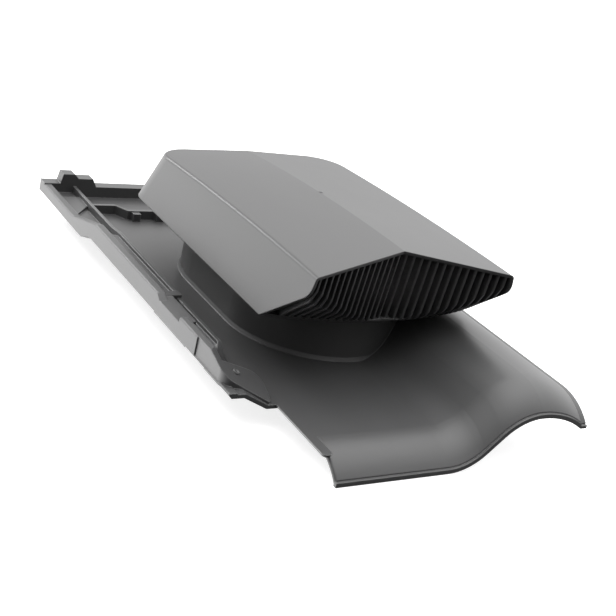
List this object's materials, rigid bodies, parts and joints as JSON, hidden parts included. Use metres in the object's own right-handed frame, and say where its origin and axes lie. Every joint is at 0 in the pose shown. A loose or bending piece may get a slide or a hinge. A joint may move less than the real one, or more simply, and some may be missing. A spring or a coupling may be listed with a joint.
{
  "type": "roof tile vent",
  "caption": "Moulded plastic roof tile with a flat pan, a side roll and interlocks, and an oblong collar under a low faceted hood whose front mouth is filled with upright slats.",
  "frame": {"origin": "middle of the footprint, level with the lower edge of the nose", "axes": "+X from the side channel to the roll, +Y up the slope from nose to head, +Z out of the roof"},
  "size_m": [0.26, 0.47, 0.1207],
  "materials": {
    "tile_plastic": "moulded satin, dark grey",
    "hood_plastic": "moulded satin, dark grey"
  },
  "bodies": {
    "root": {"base_tile": "tile_plastic", "hood": "hood_plastic"}
  },
  "joints": []
}
